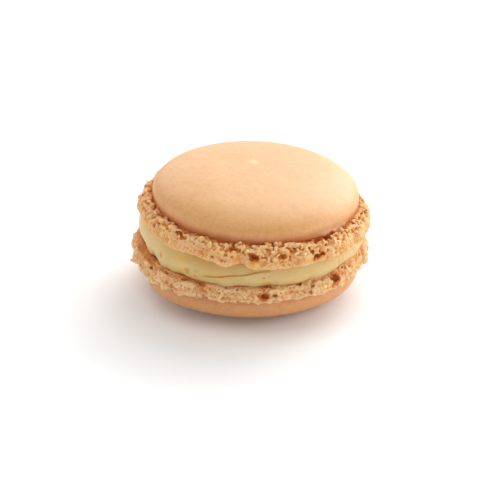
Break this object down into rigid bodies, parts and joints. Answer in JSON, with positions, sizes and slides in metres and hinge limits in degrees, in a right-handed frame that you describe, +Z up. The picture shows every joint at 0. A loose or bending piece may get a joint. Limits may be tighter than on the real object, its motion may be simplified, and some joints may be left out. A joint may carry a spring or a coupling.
{
  "type": "french macaron",
  "caption": "Round almond meringue cookie sandwich: smooth domed shells on ruffled, crumbly feet, with a layer of pale cream between them.",
  "frame": {"origin": "on the surface the cookie rests on, under the middle of its bounding box", "axes": "+Z up through both shells, +X to the side where the cream is thinnest, -Y towards the shown front"},
  "size_m": [0.0458, 0.0446, 0.0226],
  "materials": {
    "baked_shell": "baked almond meringue, peach, satin-matt smooth dome and porous crumbly foot",
    "cream": "butter cream, pale straw yellow, soft satin",
    "baked_base": "baked almond meringue, slightly browner peach, satin-matt dome and porous crumbly foot"
  },
  "bodies": {
    "root": {"top_shell": "baked_shell", "filling": "cream", "bottom_shell": "baked_base"}
  },
  "joints": []
}
